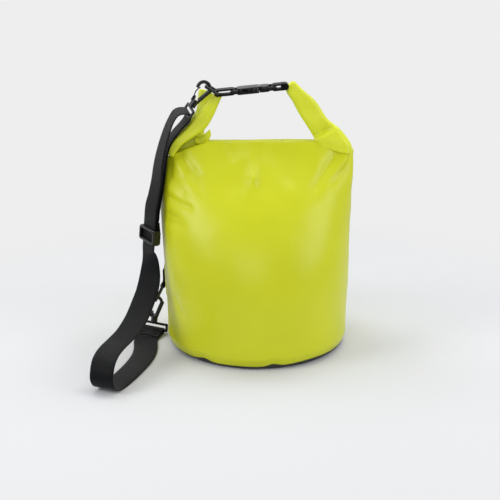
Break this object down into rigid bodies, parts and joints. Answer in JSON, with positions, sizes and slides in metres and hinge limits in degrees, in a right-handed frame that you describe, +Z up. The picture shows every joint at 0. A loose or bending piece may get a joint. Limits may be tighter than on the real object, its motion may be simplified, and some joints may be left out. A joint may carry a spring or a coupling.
{
  "type": "roll-top dry bag",
  "caption": "Round-bottomed coated-fabric dry bag with a rolled mouth buckled into a carrying handle and a removable webbing shoulder strap on swivel snap hooks.",
  "frame": {"origin": "centre of the round base on the surface that the bag stands on", "axes": "+Z up, +X along the rolled mouth towards the plug side of the buckle, -Y towards the front"},
  "size_m": [0.3677, 0.3572, 0.3946],
  "materials": {
    "coated_fabric": "semi-gloss",
    "base_fabric": "matt",
    "stiffener_plastic": "matt",
    "webbing": "woven",
    "moulded_plastic": "satin"
  },
  "bodies": {
    "bag": {"bag_wall": "coated_fabric", "base_panel": "base_fabric", "back_seam": "coated_fabric", "rolled_mouth": "coated_fabric", "mouth_stiffener": "stiffener_plastic", "left_ear": "coated_fabric", "right_ear": "coated_fabric", "lower_patch": "coated_fabric", "lower_tab": "webbing", "left_tab": "webbing", "buckle_female": "moulded_plastic", "top_eye": "moulded_plastic", "bottom_eye": "moulded_plastic", "strap_main": "webbing", "strap_return": "webbing", "strap_lower_end": "webbing"},
    "plug": {"buckle_male": "moulded_plastic", "right_tab": "webbing"},
    "front_prong": {"front_prong": "moulded_plastic"},
    "rear_prong": {"rear_prong": "moulded_plastic"},
    "top_ring": {"top_ring": "moulded_plastic"},
    "lower_ring": {"lower_ring": "moulded_plastic"},
    "top_hook": {"top_hook": "moulded_plastic"},
    "top_gate": {"top_gate": "moulded_plastic"},
    "bottom_hook": {"bottom_hook": "moulded_plastic"},
    "bottom_gate": {"bottom_gate": "moulded_plastic"},
    "slider": {"slider": "moulded_plastic", "strap_slider_end": "webbing"}
  },
  "joints": [
    {"name": "buckle_release", "type": "slide", "parent": "bag", "child": "plug", "axis": [0.9952, 0, 0.0976], "range_m": [0, 0.032], "deforming": ["right_ear", "front_prong", "rear_prong"]},
    {"name": "rear_prong_squeeze", "type": "hinge", "parent": "plug", "child": "rear_prong", "pos_m": [0.00635, 0.0195, 0.38211], "axis": [-0.0976, 0, 0.9952], "range_deg": [0, 9], "stiffness_Nm_per_rad": 0.05},
    {"name": "front_prong_squeeze", "type": "hinge", "parent": "plug", "child": "front_prong", "pos_m": [0.00635, 0.0005, 0.38211], "axis": [-0.0976, 0, 0.9952], "range_deg": [-9, 0], "stiffness_Nm_per_rad": 0.05},
    {"name": "top_ring_swing", "type": "hinge", "parent": "bag", "child": "top_ring", "pos_m": [-0.05775, 0.01, 0.37583], "axis": [0, 1, 0], "range_deg": [-8, 0]},
    {"name": "lower_ring_swing", "type": "hinge", "parent": "bag", "child": "lower_ring", "pos_m": [-0.14331, 0.01412, 0.082], "axis": [0.098, 0.9952, 0], "range_deg": [-5, 3]},
    {"name": "top_hook_swivel", "type": "hinge", "parent": "bag", "child": "top_hook", "pos_m": [-0.0955, 0.004, 0.3562], "axis": [0.5592, 0, 0.829], "range_deg": [-15, 15]},
    {"name": "top_gate_open", "type": "hinge", "parent": "top_hook", "child": "top_gate", "pos_m": [-0.09126, 0.004, 0.37071], "axis": [0, 1, 0], "range_deg": [0, 25], "stiffness_Nm_per_rad": 0.05},
    {"name": "bottom_hook_swivel", "type": "hinge", "parent": "bag", "child": "bottom_hook", "pos_m": [-0.16073, 0.01583, 0.019], "axis": [0.1213, -0.0119, 0.9925], "range_deg": [-15, 15]},
    {"name": "bottom_gate_open", "type": "hinge", "parent": "bottom_hook", "child": "bottom_gate", "pos_m": [-0.16352, 0.01611, 0.03385], "axis": [0.098, 0.9952, 0], "range_deg": [0, 25], "stiffness_Nm_per_rad": 0.05},
    {"name": "slider_travel", "type": "slide", "parent": "bag", "child": "slider", "axis": [0.0872, 0, 0.9962], "range_m": [-0.008, 0.02], "deforming": ["strap_return"]}
  ],
  "couplings": [
    {"joint": "front_prong_squeeze", "follows": "rear_prong_squeeze", "ratio": -1}
  ]
}
